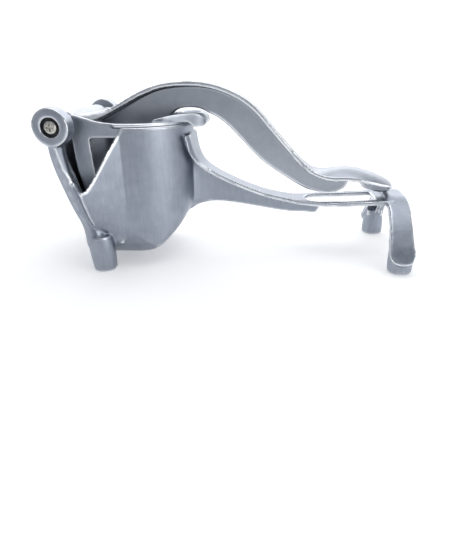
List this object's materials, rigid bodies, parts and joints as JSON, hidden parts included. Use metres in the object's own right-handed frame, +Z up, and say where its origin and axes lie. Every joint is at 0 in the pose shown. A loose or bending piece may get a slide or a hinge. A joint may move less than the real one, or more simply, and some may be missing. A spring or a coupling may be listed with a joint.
{
  "type": "hand fruit press",
  "caption": "Free-standing hand-lever fruit press: a spouted bucket on feet, a lift-out strainer basket and a hinged arm that swings a press head into it.",
  "frame": {"origin": "on the floor plane, at the middle of the overall length and width", "axes": "+X from the hinge to the grip, +Y across, +Z up"},
  "size_m": [0.2551, 0.132, 0.1268],
  "materials": {
    "cast_aluminium": "satin tumbled casting",
    "screw_steel": "plated",
    "dark_washer": "dark matt"
  },
  "bodies": {
    "base": {"body_casting": "cast_aluminium", "strainer_basket": "cast_aluminium", "hinge_pin": "screw_steel", "hinge_screw_near": "screw_steel", "hinge_screw_far": "screw_steel", "hinge_washer_near": "dark_washer", "hinge_washer_far": "dark_washer"},
    "lever": {"lever_casting": "cast_aluminium", "press_head": "cast_aluminium", "press_head_screws": "screw_steel"}
  },
  "joints": [
    {"name": "lever_hinge", "type": "hinge", "parent": "base", "child": "lever", "pos_m": [-0.1154, 0, 0.1009], "axis": [0, -1, 0], "range_deg": [0, 105]}
  ]
}
